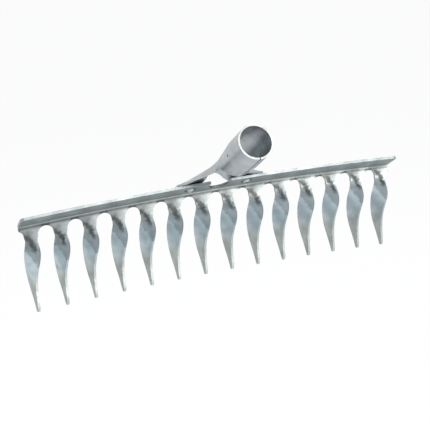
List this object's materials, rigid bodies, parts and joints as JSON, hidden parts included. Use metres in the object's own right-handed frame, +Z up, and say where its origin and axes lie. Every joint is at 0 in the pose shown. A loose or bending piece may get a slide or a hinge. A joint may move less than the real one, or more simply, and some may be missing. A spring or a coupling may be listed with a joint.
{
  "type": "garden rake head",
  "caption": "Pressed steel garden rake head: a folded bar with a row of twisted teeth and a riveted socket for a round wooden handle.",
  "frame": {"origin": "centre of the handle socket's mouth", "axes": "+X along the bar, to the right for someone who stands at the handle's side; +Z up, so that the teeth point down along -Z; the handle leaves the socket towards -Y and 30.5 degrees above level"},
  "size_m": [0.3845, 0.1218, 0.168],
  "materials": {
    "bar_steel": "galvanised, satin",
    "socket_steel": "galvanised, satin",
    "rivet_steel": "zinc plated"
  },
  "bodies": {
    "root": {"toothed_bar": "bar_steel", "handle_socket": "socket_steel", "rivets": "rivet_steel"}
  },
  "joints": []
}
